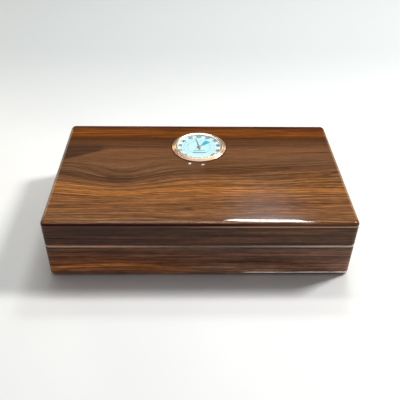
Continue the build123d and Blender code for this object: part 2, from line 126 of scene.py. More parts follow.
class Shade:
    """One node material. x, y and z are the resting place in millimetres."""

    def __init__(self, name):
        self.material = bpy.data.materials.new(name)
        self.material.use_nodes = True
        self.tree = self.material.node_tree
        self.tree.nodes.clear()
        self.surface = self.node("ShaderNodeBsdfPrincipled")
        self.output = self.node("ShaderNodeOutputMaterial", Surface=self.surface.outputs[0])
        rest = self.node("ShaderNodeTexCoord").outputs["Object"]
        self.place = self.stretch(rest, 1 / MM)
        self.x, self.y, self.z = self.node("ShaderNodeSeparateXYZ", Vector=self.place).outputs

    def put(self, socket, value):
        """Links a socket to another node's output, or gives it a plain value."""
        if isinstance(value, bpy.types.NodeSocket):
            self.tree.links.new(value, socket)
        else:
            socket.default_value = value

    def node(self, kind, **settings):
        """A new node, with each setting put on the node itself or on its input of that name."""
        made = self.tree.nodes.new(kind)
        for key, value in settings.items():
            if hasattr(made, key):
                setattr(made, key, value)
            else:
                self.put(made.inputs[key], value)
        return made

    def set(self, **values):
        """Fills in the shader's sockets and gives back the finished material."""
        for key, value in values.items():
            self.put(self.surface.inputs[SOCKETS[key]], value)
        return self.material

    def math(self, operation, *values):
        made = self.node("ShaderNodeMath", operation=operation)
        for socket, value in zip(made.inputs, values):
            self.put(socket, value)
        return made.outputs[0]

    def add(self, *values):
        total = values[0]
        for value in values[1:]:
            total = self.math("ADD", total, value)
        return total

    def minus(self, a, b):
        return self.math("SUBTRACT", a, b)

    def times(self, *values):
        product = values[0]
        for value in values[1:]:
            product = self.math("MULTIPLY", product, value)
        return product

    def bell(self, value, centre, width):
        """1 at the centre, falling smoothly away with that standard width."""
        offset = self.times(self.minus(value, centre), 1 / width)
        return self.math("EXPONENT", self.times(offset, offset, -0.5))

    def smooth(self, value, low, high, start=0.0, end=1.0, curve="SMOOTHSTEP"):
        """Passes from start to end while the value goes from low to high, and is level outside."""
        made = self.node("ShaderNodeMapRange", interpolation_type=curve)
        for socket, number in zip(made.inputs, (value, low, high, start, end)):
            self.put(socket, number)
        return made.outputs[0]

    def mix(self, factor, a, b, blend="MIX"):
        made = self.node("ShaderNodeMix", data_type="RGBA", blend_type=blend)
        self.put(made.inputs[0], factor)
        self.put(made.inputs[6], a)
        self.put(made.inputs[7], b)
        return made.outputs[2]

    def tone(self, shown, level):
        """A colour times a level, which can lie above 1."""
        return self.mix(1.0, shown, self.spot(level, level, level), "MULTIPLY")

    def ramp(self, value, stops):
        """Colours at the given values, from low to high, with even passages between them."""
        low, high = stops[0][0], stops[-1][0]
        made = self.node("ShaderNodeValToRGB")
        self.put(made.inputs[0], self.smooth(value, low, high, curve="LINEAR"))
        elements = made.color_ramp.elements
        elements.remove(elements[1])
        elements[0].position = 0
        elements[0].color = stops[0][1]
        for at, shown in stops[1:]:
            elements.new((at - low) / (high - low)).color = shown
        return made.outputs[0]

    def spot(self, x, y, z):
        return self.node("ShaderNodeCombineXYZ", X=x, Y=y, Z=z).outputs[0]

    def stretch(self, place, factor):
        made = self.node("ShaderNodeVectorMath", operation="SCALE", Vector=place, Scale=factor)
        return made.outputs[0]

    def noise(self, place, detail):
        return self.node("ShaderNodeTexNoise", Vector=place, Scale=1.0, Detail=detail).outputs[0]

    def grain(self, along, across, length, width, seed, detail=2.0):
        """Noise drawn out along the grain, in streaks of about that length and width."""
        place = self.spot(self.times(along, 1 / length), self.times(across, 1 / width), seed)
        return self.noise(place, detail)

    def wander(self, along, across, length, width, seed, reach):
        """A slow drift to both sides of zero, which bends the grain."""
        return self.times(self.minus(self.grain(along, across, length, width, seed, 1.0), 0.5), reach)

    def specks(self, size, detail=2.0):
        """Noise in round patches of about that size."""
        return self.noise(self.stretch(self.place, 1 / size), detail)

    def bump(self, height_mm):
        return self.node("ShaderNodeBump", Height=height_mm, Strength=1.0, Distance=MM).outputs[0]

    def dial_radius(self):
        """The distance from the dial's middle."""
        out = self.minus(self.y, dial_centre.y / MM)
        return self.math("SQRT", self.add(self.times(self.x, self.x), self.times(out, out)))


# --- Walnut ---

def lacquer_height(s, crown):
    """The lacquer's own surface: a slow waviness, and with a crown a film that thins to the edges."""
    height = s.times(s.specks(24, 1.0), 0.012)
    if not crown:
        return height
    crown_width, crown_bend = 10.5, 0.0065
    for value, half in ((s.x, half_length_mm), (s.y, half_depth_mm)):
        inside = s.minus(half, s.math("ABSOLUTE", value))
        near = s.math("MAXIMUM", s.minus(crown_width, inside), 0.0)
        height = s.minus(height, s.times(near, near, crown_bend))
    return height


# Streaks in the wood: length, width, strength and contrast, from broad bands to short fibres and
# one layer of very long lines.
STREAKS = (
    (150, 4.4, 0.12, 0.25),
    (60, 1.3, 0.26, 0.28),
    (24, 0.7, 0.32, 0.30),
    (9, 0.45, 0.34, 0.30),
    (380, 1.1, 0.34, 0.25),
)


def streaks(s, shown, along, across, seed, depth):
    """Lighter and darker streaks over a wood colour. The depth is how strong they all are."""
    seed_step = 7.3
    for index, (length, width, strength, contrast) in enumerate(STREAKS):
        streak = s.grain(along, across, length, width, seed + seed_step * index)
        level = s.smooth(streak, 0.5 - contrast, 0.5 + contrast, -strength, strength)
        shown = s.tone(shown, s.math("MULTIPLY_ADD", level, depth, 1.0))
    return shown


def growth_lines(s, shown, along, across, seed):
    """Thin dark lines that waver, and come and go along the grain."""
    pitch = 6.5
    waver = s.times(s.grain(along, across, 180, 13, seed + 52, 1.0), 4.2)
    rings = s.math("MULTIPLY_ADD", across, 1 / pitch, waver)
    off_line = s.math("PINGPONG", rings, 0.5)
    patchy = s.smooth(s.grain(along, across, 70, 12, seed + 53, 1.0), 0.40, 0.62)
    line = s.times(s.smooth(off_line, 0.075, 0.0), patchy)
    return s.mix(s.times(line, 0.55), shown, colour(44, 26, 16))


def figure(s, shown, along, across, seed, depth):
    """Streaks, growth lines and pores over a wood colour, all drawn out along the grain."""
    shown = streaks(s, shown, along, across, seed, depth)
    shown = growth_lines(s, shown, along, across, seed)
    pores = s.smooth(s.grain(along, across, 5.5, 0.26, seed + 41, 1.0), 0.64, 0.74)
    return s.mix(s.times(pores, 0.55), shown, colour(38, 22, 14))


def finish_walnut(s, shown, along, across, seed, crown, coat, coat_ior):
    """Wood fibres under a coat of clear lacquer. Only the coat reflects."""
    fibre = s.times(s.grain(along, across, 14, 0.4, seed + 60, 1.0), 0.01)
    rough = s.grain(along, across, 30, 0.8, seed + 61, 1.0)
    return s.set(
        colour=shown,
        roughness=s.smooth(rough, 0.2, 0.8, 0.34, 0.48),
        specular=0.0,
        normal=s.bump(fibre),
        coat=coat,
        coat_roughness=0.016,
        coat_ior=coat_ior,
        coat_normal=s.bump(lacquer_height(s, crown)),
    )


# The colours of the lid's veneer from its front edge to its back edge, each with its place from
# front to back.
LID_BANDS = (
    (-75, lit(116, 79, 56)),
    (-65, lit(131, 91, 62)),
    (-57, lit(125, 85, 57)),
    (-45, lit(137, 92, 59)),
    (-39, lit(135, 91, 57)),
    (-31, lit(166, 108, 60)),
    (-26, lit(140, 93, 55)),
    (-10, lit(122, 84, 58)),
    (-5, lit(98, 68, 49)),
    (3, lit(110, 78, 56)),
    (31, lit(118, 80, 55)),
    (36, lit(97, 66, 46)),
    (45, lit(92, 61, 41)),
    (50, lit(84, 50, 28)),
    (58, lit(121, 70, 19)),
    (64, lit(114, 65, 14)),
    (69, lit(88, 50, 12)),
    (75, lit(74, 40, 12)),
)


def dark_wedge(s, shown, wander):
    """The dark patch at the lid's left end. A slanting line is its front edge."""
    edge = s.minus(s.y, s.math("MULTIPLY_ADD", s.x, 0.474, 71.5))
    edge = s.add(edge, s.times(wander, 0.6))
    left_end = s.smooth(s.x, -82, -94)
    wedge = s.times(s.smooth(edge, -1.5, 1.5), left_end, s.smooth(s.y, 42, 34))
    return s.mix(s.times(wedge, 0.92), shown, lit(76, 54, 41))


def walnut_lid_top():
    """The one sheet of flamed walnut on the lid, with its grain along the box."""
    s = Shade("walnut_lid_top")
    seed = 11.0
    wander = s.wander(s.x, s.y, 75, 26, 3.1, 7.0)
    dip = s.times(s.bell(s.x, -68, 24), s.bell(s.y, -14, 19), 13.0)
    rise = s.times(s.bell(s.x, 125, 45), s.bell(s.y, 4, 17), -8.0)
    across = s.add(s.y, wander, dip, rise)
    shown = s.ramp(across, LID_BANDS)
    mottled = s.smooth(s.grain(s.x, s.y, 42, 3.4, 17.0), 0.3, 0.7, 0.62, 1.42)
    back_band = s.times(s.smooth(s.y, 50, 56), 0.9)
    shown = s.mix(back_band, shown, s.tone(shown, mottled))
    shown = dark_wedge(s, shown, wander)
    cloud = s.times(s.bell(s.x, -70, 11), s.bell(across, 0.5, 4.5))
    shown = s.mix(s.times(cloud, 0.65), shown, lit(76, 55, 42))
    dull = s.times(s.smooth(s.x, 5, 75, 0.0, 0.45), s.bell(s.y, -25, 15))
    shown = s.mix(dull, shown, lit(96, 70, 52))
    shown = figure(s, shown, s.x, across, seed, s.smooth(s.y, -18, 12, 1.3, 0.62))
    # Painted shadow: a dark ring in the wood round the bezel's foot, since the bezel itself casts none.
    bezel_painted_shadow = s.bell(s.dial_radius(), bezel_radius_mm + 0.4, 0.45)
    shown = s.mix(s.times(bezel_painted_shadow, 0.7), shown, colour(42, 24, 14))
    return finish_walnut(s, shown, s.x, across, seed, crown=True, coat=1.0, coat_ior=1.42)


def wall_colour(s, along, across, seed, left, right):
    """Quieter walnut for the sides, between two tones from one end to the other, darker than the top
    partly in the veneer's tone and partly as painted shade.
    """
    shown = s.mix(s.smooth(along, -110, 110), lit(*left, SIDE_LIGHT), lit(*right, SIDE_LIGHT))
    broad = s.grain(along, across, 170, 4.5, seed)
    return s.tone(shown, s.smooth(broad, 0.25, 0.75, 0.68, 1.42))


def pale_seam(s, shown):
    """The pale line outside where the lid meets the base: partly the veneer's pale edge, partly a
    painted highlight, pinker on the left and fainter near the middle.
    """
    off = s.math("ABSOLUTE", s.minus(s.z, seam_mm))
    out_x = s.minus(s.math("ABSOLUTE", s.x), half_length_mm)
    out_y = s.minus(s.math("ABSOLUTE", s.y), half_depth_mm)
    outside = s.smooth(s.math("MAXIMUM", out_x, out_y), -1.35, -0.9)
    edge = s.times(s.smooth(off, 1.05, 0.7), outside)
    # Painted highlight along the seam, pinker on the left and fainter near the middle.
    warm = s.mix(s.smooth(s.x, -60, 60), colour(252, 214, 190), colour(255, 240, 222))
    faint_x = 10
    strength = s.smooth(s.math("ABSOLUTE", s.minus(s.x, faint_x)), 10, 100, 0.5, 1.0)
    return s.mix(s.times(edge, strength), shown, warm)


def red_rounding(s, shown):
    """Painted shade on the lid's top rounding, darker and redder, lighter to the right as a painted
    reflection, and a painted highlight line at its foot.
    """
    foot = lid_top_mm - 3.0
    # Painted shade on the rounding. Its lighter right end is a painted reflection of the window.
    red = s.mix(s.smooth(s.x, 20, 60), lit(47, 22, 13, SIDE_LIGHT), lit(84, 56, 42, SIDE_LIGHT))
    shown = s.mix(s.times(s.smooth(s.z, foot, foot + 1.0), 0.9), shown, red)
    # Painted highlight: a light line along the foot of the rounding.
    line = s.times(s.bell(s.z, foot - 0.1, 0.35), s.smooth(s.x, -30, 50, 0.1, 1.0))
    return s.mix(line, shown, lit(160, 128, 106, SIDE_LIGHT))


def front_arch(s, shown, height):
    """The low part of the base's front: an orange arch, paler patches, painted light that makes it
    lighter and greyer low down, and a painted highlight line along its lower edge on the right.
    """
    arch_x, arch_top = -69, 14.2
    offset = s.minus(s.x, arch_x)
    bend = s.math("MULTIPLY_ADD", s.smooth(offset, -4, 4), 0.0007, 0.0014)
    crest = s.minus(arch_top, s.times(bend, s.times(offset, offset)))
    below = s.minus(crest, height)
    shown = s.mix(s.times(s.smooth(below, -0.6, 0.5), 0.8), shown, lit(100, 66, 46, SIDE_LIGHT))
    rim = s.times(s.smooth(below, -1.1, 0.5), s.smooth(below, 4.4, 1.2))
    rim = s.times(rim, s.smooth(s.x, -50, 0, 0.75, 0.1))
    shown = s.mix(rim, shown, lit(132, 84, 48, SIDE_LIGHT))
    for x, width, level, spread in ((50, 24, 7.5, 2.6), (12, 17, 10, 3.2)):
        band = s.times(s.bell(s.x, x, width), s.bell(height, level, spread))
        shown = s.mix(s.times(band, 0.8), shown, lit(114, 85, 69, SIDE_LIGHT))
    # Painted light: the lower front is made lighter, and greyer near the bottom.
    painted_bottom_light = s.times(s.smooth(s.z, 25, 12, 1.0, 1.55), s.smooth(s.z, 12.5, 7.5, 1.0, 1.35))
    shown = s.mix(s.smooth(s.z, 7, 3, 0.0, 0.4), s.tone(shown, painted_bottom_light), lit(98, 78, 68, SIDE_LIGHT))
    # Painted highlight: a light line along the lower edge on the right.
    painted_edge_highlight = s.times(s.bell(s.z, 3.4, 0.5), s.smooth(s.x, 30, 48))
    return s.mix(s.times(painted_edge_highlight, 0.85), shown, lit(226, 214, 205, SIDE_LIGHT))


def walnut_wall(name, runs_back, seed, left, right, arch):
    """One wall's walnut, with the grain along the wall, which runs back or from left to right."""
    s = Shade(name)
    along, inwards = (s.y, s.x) if runs_back else (s.x, s.y)
    height = s.add(s.z, s.wander(along, s.z, 90, 18, seed + 2, 3.2))
    across = s.add(height, inwards)
    shown = wall_colour(s, along, across, seed, left, right)
    if arch:
        shown = front_arch(s, shown, height)
    shown = figure(s, shown, along, across, seed, 1.45)
    shown = pale_seam(s, red_rounding(s, shown))
    return finish_walnut(s, shown, along, across, seed, crown=False, coat=0.6, coat_ior=1.38)


# --- The other materials ---

def cedar(name, along_name, across_name, seed):
    """Bare Spanish cedar, with the grain along one axis."""
    s = Shade(name)
    along, across = getattr(s, along_name), getattr(s, across_name)
    across = s.add(across, s.wander(along, across, 80, 16, seed, 6.0))
    shown = s.ramp(
        s.grain(along, across, 260, 3.2, seed),
        ((0.25, colour(150, 88, 56)), (0.5, colour(194, 132, 92)), (0.75, colour(214, 158, 116))),
    )
    pores = s.smooth(s.grain(along, across, 4.0, 0.22, seed + 5, 1.0), 0.6, 0.75)
    shown = s.mix(s.times(pores, 0.5), shown, colour(120, 66, 42))
    height = s.times(s.grain(along, across, 9, 0.35, seed + 9), 0.05)
    return s.set(colour=shown, roughness=0.68, specular=0.3, normal=s.bump(height))


def plywood():
    """The base's bottom panel, with its plies showing at the two ends."""
    s = Shade("plywood")
    shown = s.ramp(
        s.grain(s.x, s.y, 160, 5, 2.0),
        ((0.3, colour(172, 138, 100)), (0.7, colour(206, 176, 138))),
    )
    plies = s.smooth(s.math("SINE", s.times(s.z, pi)), -0.1, 0.1)
    end = s.smooth(s.math("ABSOLUTE", s.x), half_length_mm - 9, half_length_mm - 8)
    shown = s.mix(s.times(plies, end, 0.5), shown, colour(120, 88, 60))
    height = s.times(s.grain(s.x, s.y, 12, 0.5, 8.0), 0.04)
    return s.set(colour=shown, roughness=0.75, normal=s.bump(height))


def felt():
    """Dark wool felt, with its fibres standing up a little."""
    s = Shade("felt")
    fibres = s.add(s.specks(0.55, 3.0), s.times(s.specks(3.5), 0.6))
    return s.set(
        colour=s.ramp(fibres, ((0.55, colour(26, 30, 27)), (1.05, colour(58, 64, 58)))),
        roughness=0.95,
        specular=0.1,
        sheen=0.35,
        sheen_roughness=0.5,
        normal=s.bump(s.times(s.specks(0.4, 3.0), 0.22)),
    )


def metal(name, dark, bright, roughness, brushed, along="x"):
    """A metal with slow colour variation, and brush marks along one axis if it has any."""
    s = Shade(name)
    cloud = s.smooth(s.specks(9.0, 3.0), 0.35, 0.65)
    shown = s.mix(s.times(cloud, 0.25), bright, dark)
    mark_length, mark_width = 12, 0.18
    others = [s.times(getattr(s, axis), 1 / mark_width) for axis in "xyz" if axis != along]
    marks = s.noise(s.spot(s.times(getattr(s, along), 1 / mark_length), *others), 2.0)
    height = s.add(s.times(marks, brushed), s.times(s.specks(1.6), 0.0008))
    return s.set(
        colour=shown,
        metallic=1.0,
        roughness=s.smooth(s.specks(5.0), 0.3, 0.7, roughness * 0.85, roughness * 1.2),
        normal=s.bump(height),
    )


def bezel_gold():
    """Lacquered pale gold, pinker down the slopes and yellower on the crown."""
    s = Shade("bezel_gold")
    radius = s.dial_radius()
    slope = s.smooth(radius, 21.8, 23.2)
    shown = s.mix(slope, colour(246, 232, 200), colour(232, 196, 172))
    cloud = s.smooth(s.specks(6.0), 0.3, 0.7)
    shown = s.mix(s.times(cloud, 0.2), shown, colour(226, 186, 140))
    turning = s.times(s.noise(s.spot(s.times(radius, 8), 0.0, 0.0), 1.0), 0.001)
    return s.set(colour=shown, metallic=0.78, specular=0.3, roughness=0.23, normal=s.bump(turning))


def glass():
    """Clear glass that lets shadow rays through, so that the dial under it is lit."""
    s = Shade("lens_glass")
    tint = s.mix(s.smooth(s.specks(12.0, 1.0), 0.3, 0.7), (0.98, 1.0, 1.0, 1), (0.95, 0.99, 1.0, 1))
    s.set(colour=tint, roughness=0.0, transmission=1.0, ior=1.45)
    chosen = s.node("ShaderNodeMixShader")
    s.put(chosen.inputs[0], s.node("ShaderNodeLightPath").outputs["Is Shadow Ray"])
    s.put(chosen.inputs[1], s.surface.outputs[0])
    s.put(chosen.inputs[2], s.node("ShaderNodeBsdfTransparent").outputs[0])
    s.put(s.output.inputs["Surface"], chosen.outputs[0])
    return s.material


def dial_enamel():
    """Pale cyan enamel, whiter towards the rim, with a faint pressed ring."""
    s = Shade("dial_enamel")
    radius = s.dial_radius()
    shown = s.ramp(
        radius,
        (
            (0, colour(186, 232, 240)),
            (9, colour(192, 235, 241)),
            (11.2, colour(168, 218, 228)),
            (12.4, colour(194, 235, 239)),
            (17, colour(204, 236, 243)),
            (21, colour(230, 244, 247)),
        ),
    )
    shown = s.tone(shown, s.smooth(s.specks(2.4), 0.3, 0.7, 0.96, 1.0))
    press = s.add(s.times(s.bell(radius, 11.6, 0.35), 0.05), s.times(s.specks(0.5, 1.0), 0.003))
    return s.set(colour=shown, roughness=0.35, normal=s.bump(press))


def paint(name, dark, bright, roughness=0.4):
    """A thin printed or sprayed coat with a fine unevenness."""
    s = Shade(name)
    shown = s.mix(s.smooth(s.specks(0.9), 0.3, 0.7), dark, bright)
    return s.set(colour=shown, roughness=roughness, normal=s.bump(s.times(s.specks(0.3, 1.0), 0.004)))


def teal_print():
    """The comfort zone's ink, a little darker half way out."""
    s = Shade("teal_print")
    shown = s.ramp(
        s.dial_radius(),
        ((3, colour(0, 186, 202)), (8, colour(0, 156, 182)), (14, colour(0, 186, 204))),
    )
    shown = s.mix(s.times(s.specks(1.1), 0.2), shown, colour(0, 150, 172))
    return s.set(colour=shown, roughness=0.35)


def moulded(name, shown, roughness, size, depth):
    """Moulded plastic or rubber with a fine matt texture."""
    s = Shade(name)
    cloud = s.smooth(s.specks(size * 6), 0.3, 0.7)
    height = s.times(s.specks(size), depth)
    return s.set(
        colour=s.mix(cloud, shown, scaled(shown, 1.35)), roughness=roughness, normal=s.bump(height)
    )


def foam_green():
    """Green cut foam, with painted shade in its open cells."""
    s = Shade("foam")
    cells = s.specks(0.9)
    shown = s.ramp(cells, ((0.35, colour(28, 62, 38)), (0.6, colour(96, 158, 104))))
    return s.set(colour=shown, roughness=0.95, specular=0.1, normal=s.bump(s.times(cells, 0.5)))


# --- Mesh helpers ---

def new_piece(name, mesh, material, body):
    """A visible piece with one material, which moves with that body."""
    piece = bpy.data.objects.new(name, mesh)
    bpy.context.scene.collection.objects.link(piece)
    mesh.materials.clear()
    mesh.materials.append(material)
    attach(piece, body)
    return piece


def finish_mesh(name, built, sharp_degrees=None):
    """The built mesh, smooth except at edges over that angle, or flat if no angle is given."""
    bmesh.ops.recalc_face_normals(built, faces=built.faces)
    mesh = bpy.data.meshes.new(name)
    built.to_mesh(mesh)
    built.free()
    if sharp_degrees:
        mesh.shade_smooth()
        mesh.set_sharp_from_angle(angle=radians(sharp_degrees))
    return mesh


def arc(centre, radius, start, end, steps):
    """Points on an arc, with angles in degrees. A pair of radii makes it an ellipse's arc."""
    wide, high = radius if isinstance(radius, tuple) else (radius, radius)
    turns = [radians(start + (end - start) * i / steps) for i in range(steps + 1)]
    return [(centre[0] + wide * cos(t), centre[1] + high * sin(t)) for t in turns]


def turned(name, outline_mm, segments, sharp_degrees):
    """A closed outline of (radius, height) points, turned about the dial's middle."""
    built = bmesh.new()
    rings = []
    for i in range(segments):
        turn = 2 * pi * i / segments
        across, back = cos(turn) * MM, sin(turn) * MM
        rings.append([
            built.verts.new((dial_centre.x + r * across, dial_centre.y + r * back, z * MM))
            for r, z in outline_mm
        ])
    count = len(outline_mm)
    for ring, after in zip(rings, rings[1:] + rings[:1]):
        for j in range(count):
            k = (j + 1) % count
            built.faces.new((ring[j], after[j], after[k], ring[k]))
    bmesh.ops.remove_doubles(built, verts=built.verts, dist=1e-7)
    return finish_mesh(name, built, sharp_degrees)


def prism(built, outline, low, high):
    """Adds a flat plate with that outline, between two heights."""
    bottom = [built.verts.new((x, y, low)) for x, y in outline]
    top = [built.verts.new((x, y, high)) for x, y in outline]
    built.faces.new(bottom[::-1])
    built.faces.new(top)
    for i in range(len(outline)):
        j = (i + 1) % len(outline)
        built.faces.new((bottom[i], bottom[j], top[j], top[i]))


def scale_angle(percent):
    """Where a humidity value sits on the dial, in degrees clockwise from the top."""
    return (percent - 50) * 2.7


def dial_point(radius_mm, degrees):
    """A point on the dial, with the angle clockwise from the top of the scale."""
    turn = radians(90 - degrees)
    return (dial_centre.x + radius_mm * MM * cos(turn), dial_centre.y + radius_mm * MM * sin(turn))


def dial_sector(built, inner_mm, outer_mm, start, end, steps, low, high):
    """Adds a flat sector of the dial between two radii, two angles and two heights."""
    angles = [start + (end - start) * i / steps for i in range(steps + 1)]
    for first, second in zip(angles, angles[1:]):
        outline = [
            dial_point(inner_mm, first),
            dial_point(outer_mm, first),
            dial_point(outer_mm, second),
            dial_point(inner_mm, second),
        ]
        prism(built, outline, low, high)
    bmesh.ops.remove_doubles(built, verts=built.verts, dist=1e-8)


# --- The hygrometer ---

PRINT_LOW, PRINT_HIGH = dial_face + 0.03 * MM, dial_face + 0.06 * MM


def make_bezel():
    """The gold ring: a thin turned rim, a long slope, a crest bead and a lip over the glass."""
    z = lid_top_mm
    lip = lens_high.z / MM + 0.02
    outline = [(23.3, z - 3.0), (23.3, z)]
    outline += arc((24.8, z + 0.2), 0.2, -90, 0, 4)
    outline += arc((24.75, z + 0.5), 0.25, 0, 62, 5)
    outline += [(23.8, z + 1.16), (23.05, z + 1.54), (22.3, z + 1.86)]
    outline += arc((21.6, z + 1.75), 0.42, 60, 130, 6)
    outline += [(20.9, z + 1.96), (20.4, z + 1.78)]
    outline += arc((20.35, lip + 0.15), 0.14, 60, 180, 5)
    outline += [(20.2, lip), (22.6, lip), (22.65, z - 3.0)]
    mesh = turned("hygrometer_gold_bezel", outline, 144, 50)
    piece = new_piece("hygrometer_gold_bezel", mesh, bezel_gold(), "lid")
    piece.visible_shadow = False
    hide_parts("hygrometer_bezel")


def make_rim_ring():
    """The white ring that slopes up from the dial's edge to the glass."""
    low, high = dial_face / MM + 0.02, lens_low.z / MM - 0.05
    outline = [(19.6, low), (19.8, low + 0.2), (20.05, low + 0.6), (20.18, high)]
    outline += [(21.79, high), (21.79, low)]
    mesh = turned("hygrometer_rim_ring", outline, 120, 50)
    white = paint("ring_enamel", colour(232, 236, 238), colour(246, 248, 250), 0.3)
    ring = new_piece("hygrometer_rim_ring", mesh, white, "lid")
    ring.visible_shadow = False


def make_scale(ink):
    """The printed ticks, longer at every ten percent, and the thin arc that they stand on."""
    foot_mm = 14.1
    built = bmesh.new()
    for percent in range(0, 101, 2):
        major = percent % 10 == 0
        outer, half_width = (15.8, 0.9) if major else (14.9, 0.45)
        middle = scale_angle(percent)
        start, end = middle - half_width, middle + half_width
        dial_sector(built, foot_mm, outer, start, end, 1, PRINT_LOW, PRINT_HIGH)
    mesh = finish_mesh("hygrometer_ticks", built)
    new_piece("hygrometer_ticks", mesh, ink, "lid")
    built = bmesh.new()
    start, end = scale_angle(0), scale_angle(100)
    dial_sector(built, foot_mm - 0.18, foot_mm - 0.04, start, end, 72, PRINT_LOW, PRINT_HIGH)
    mesh = finish_mesh("hygrometer_scale_arcs", built)
    new_piece("hygrometer_scale_arcs", mesh, ink, "lid")


def numeral_mesh(number):
    """One flat, centred number, about its own middle."""
    text = bpy.data.curves.new("numeral", "FONT")
    text.body = str(number)
    text.size = 4.5 * MM
    text.extrude = 0.015 * MM
    text.offset = 0.16 * MM
    text.resolution_u = 3
    text.align_x = "CENTER"
    text.align_y = "CENTER"
    holder = bpy.data.objects.new("numeral", text)
    bpy.context.scene.collection.objects.link(holder)
    bpy.context.view_layer.update()
    evaluated = holder.evaluated_get(bpy.context.evaluated_depsgraph_get())
    mesh = bpy.data.meshes.new_from_object(evaluated)
    bpy.data.objects.remove(holder)
    bpy.data.curves.remove(text)
    return mesh


def make_numerals(ink):
    """The numbers 0 to 100 in tens, standing towards the rim."""
    built = bmesh.new()
    for percent in range(0, 101, 10):
        mesh = numeral_mesh(percent)
        x, y = dial_point(17.9, scale_angle(percent))
        turn = Matrix.Rotation(radians(-scale_angle(percent)), 4, "Z")
        mesh.transform(Matrix.Translation((x, y, dial_face + 0.05 * MM)) @ turn)
        built.from_mesh(mesh)
        bpy.data.meshes.remove(mesh)
    mesh = finish_mesh("hygrometer_numerals", built)
    new_piece("hygrometer_numerals", mesh, ink, "lid")


def make_comfort_zone():
    """The teal sector between 60 and 70 percent."""
    built = bmesh.new()
    low, high = dial_face + 0.005 * MM, dial_face + 0.02 * MM
    dial_sector(built, 2.5, 13.2, scale_angle(60), scale_angle(70), 8, low, high)
    mesh = finish_mesh("hygrometer_comfort_zone", built)
    new_piece("hygrometer_comfort_zone", mesh, teal_print(), "lid")


def make_rules(ink):
    """Two plain printed rules below the middle of the dial."""
    built = bmesh.new()
    for below_mm, width_mm, thick_mm in ((5.8, 10.4, 0.5), (9.1, 12.1, 1.0)):
        half = width_mm / 2 * MM
        lower = dial_centre.y - (below_mm + thick_mm / 2) * MM
        upper = lower + thick_mm * MM
        corners = [(-half, lower), (half, lower), (half, upper), (-half, upper)]
        prism(built, corners, PRINT_LOW, PRINT_HIGH)
    mesh = finish_mesh("hygrometer_rules", built)
    new_piece("hygrometer_rules", mesh, ink, "lid")


def make_needle():
    """A thin tapered pointer with a spade tail, and the domed hub over its arbor."""
    rest_percent = 46
    forward = Vector((*dial_point(1, scale_angle(rest_percent)), 0)) - dial_centre
    side = Vector((forward.y, -forward.x, 0))
    stations = [(-4.3, 0.24), (-3.9, 0.44), (-3.2, 0.50), (-2.5, 0.34), (-1.6, 0.30), (0, 0.42)]
    stations += [(2.0, 0.34), (9.0, 0.24), (15.2, 0.14), (15.9, 0.05)]
    right = [dial_centre + forward * along + side * half for along, half in stations]
    left = [dial_centre + forward * along - side * half for along, half in stations]
    built = bmesh.new()
    outline = [(p.x, p.y) for p in right + left[::-1]]
    prism(built, outline, needle_foot + 0.25 * MM, needle_foot + 0.5 * MM)
    mesh = finish_mesh("hygrometer_pointer", built)
    dark = paint("needle_enamel", colour(42, 34, 52), colour(74, 60, 82), 0.35)
    pointer = new_piece("hygrometer_pointer", mesh, dark, "needle")
    foot = needle_foot / MM
    dome = [(0, foot), (1.75, foot)] + arc((0, foot + 0.35), (1.95, 0.72), 0, 90, 12)
    mesh = turned("hygrometer_hub", dome, 48, 60)
    red = paint("hub_enamel", colour(170, 104, 92), colour(214, 156, 146), 0.25)
    new_piece("hygrometer_hub", mesh, red, "needle")
    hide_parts("hygrometer_needle")


def make_hygrometer():
    """The visible pieces of the dial instrument in the lid."""
    ink = paint("dial_ink", colour(52, 60, 88), colour(78, 88, 116))
    soft_ink = paint("dial_soft_ink", colour(128, 160, 176), colour(150, 180, 194))
    make_bezel()
    make_rim_ring()
    make_scale(soft_ink)
    make_numerals(ink)
    make_comfort_zone()
    make_rules(ink)
    make_needle()


# --- Felt and foam ---

def rounded_rectangle(half_x, half_y, corner, gap):
    """Points round a rectangle with rounded corners, no further apart than about that gap."""
    outline = []
    for sign_x, sign_y, start in ((1, -1, -90), (1, 1, 0), (-1, 1, 90), (-1, -1, 180)):
        centre = (sign_x * (half_x - corner), sign_y * (half_y - corner))
        outline += arc(centre, corner, start, start + 90, 6)
    points = []
    for (x, y), after in zip(outline, outline[1:] + outline[:1]):
        reach = Vector((after[0] - x, after[1] - y))
        steps = max(1, int(reach.length / gap))
        points += [(x + reach.x * j / steps, y + reach.y * j / steps) for j in range(steps)]
    return points


def make_felt():
    """The felt under the box: a pressed sheet with soft, slightly uneven edges."""
    low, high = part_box("base_felt")
    points = rounded_rectangle(high.x / MM, high.y / MM, corner=3.0, gap=4)
    levels = ((high.z / MM, 0.12), (0.75, 0.0), (0.3, 0.02), (0.08, 0.14), (low.z / MM, 0.35))
    built = bmesh.new()
    rings = []
    for z, inset in levels:
        ring = []
        for x, y in points:
            fray = 0.12 * (1 + noise.noise(Vector((x / 3, y / 3, 5)))) / 2
            share = 1 - (inset + fray) / Vector((x, y)).length
            ring.append(built.verts.new((x * share * MM, y * share * MM, z * MM)))
        rings.append(ring)
    count = len(points)
    for upper, lower in zip(rings, rings[1:]):
        for j in range(count):
            k = (j + 1) % count
            built.faces.new((upper[j], upper[k], lower[k], lower[j]))
    built.faces.new(rings[0])
    built.faces.new(rings[-1][::-1])
    mesh = finish_mesh("base_felt_sheet", built)
    piece = new_piece("base_felt_sheet", mesh, felt(), "base")
    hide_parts("base_felt")


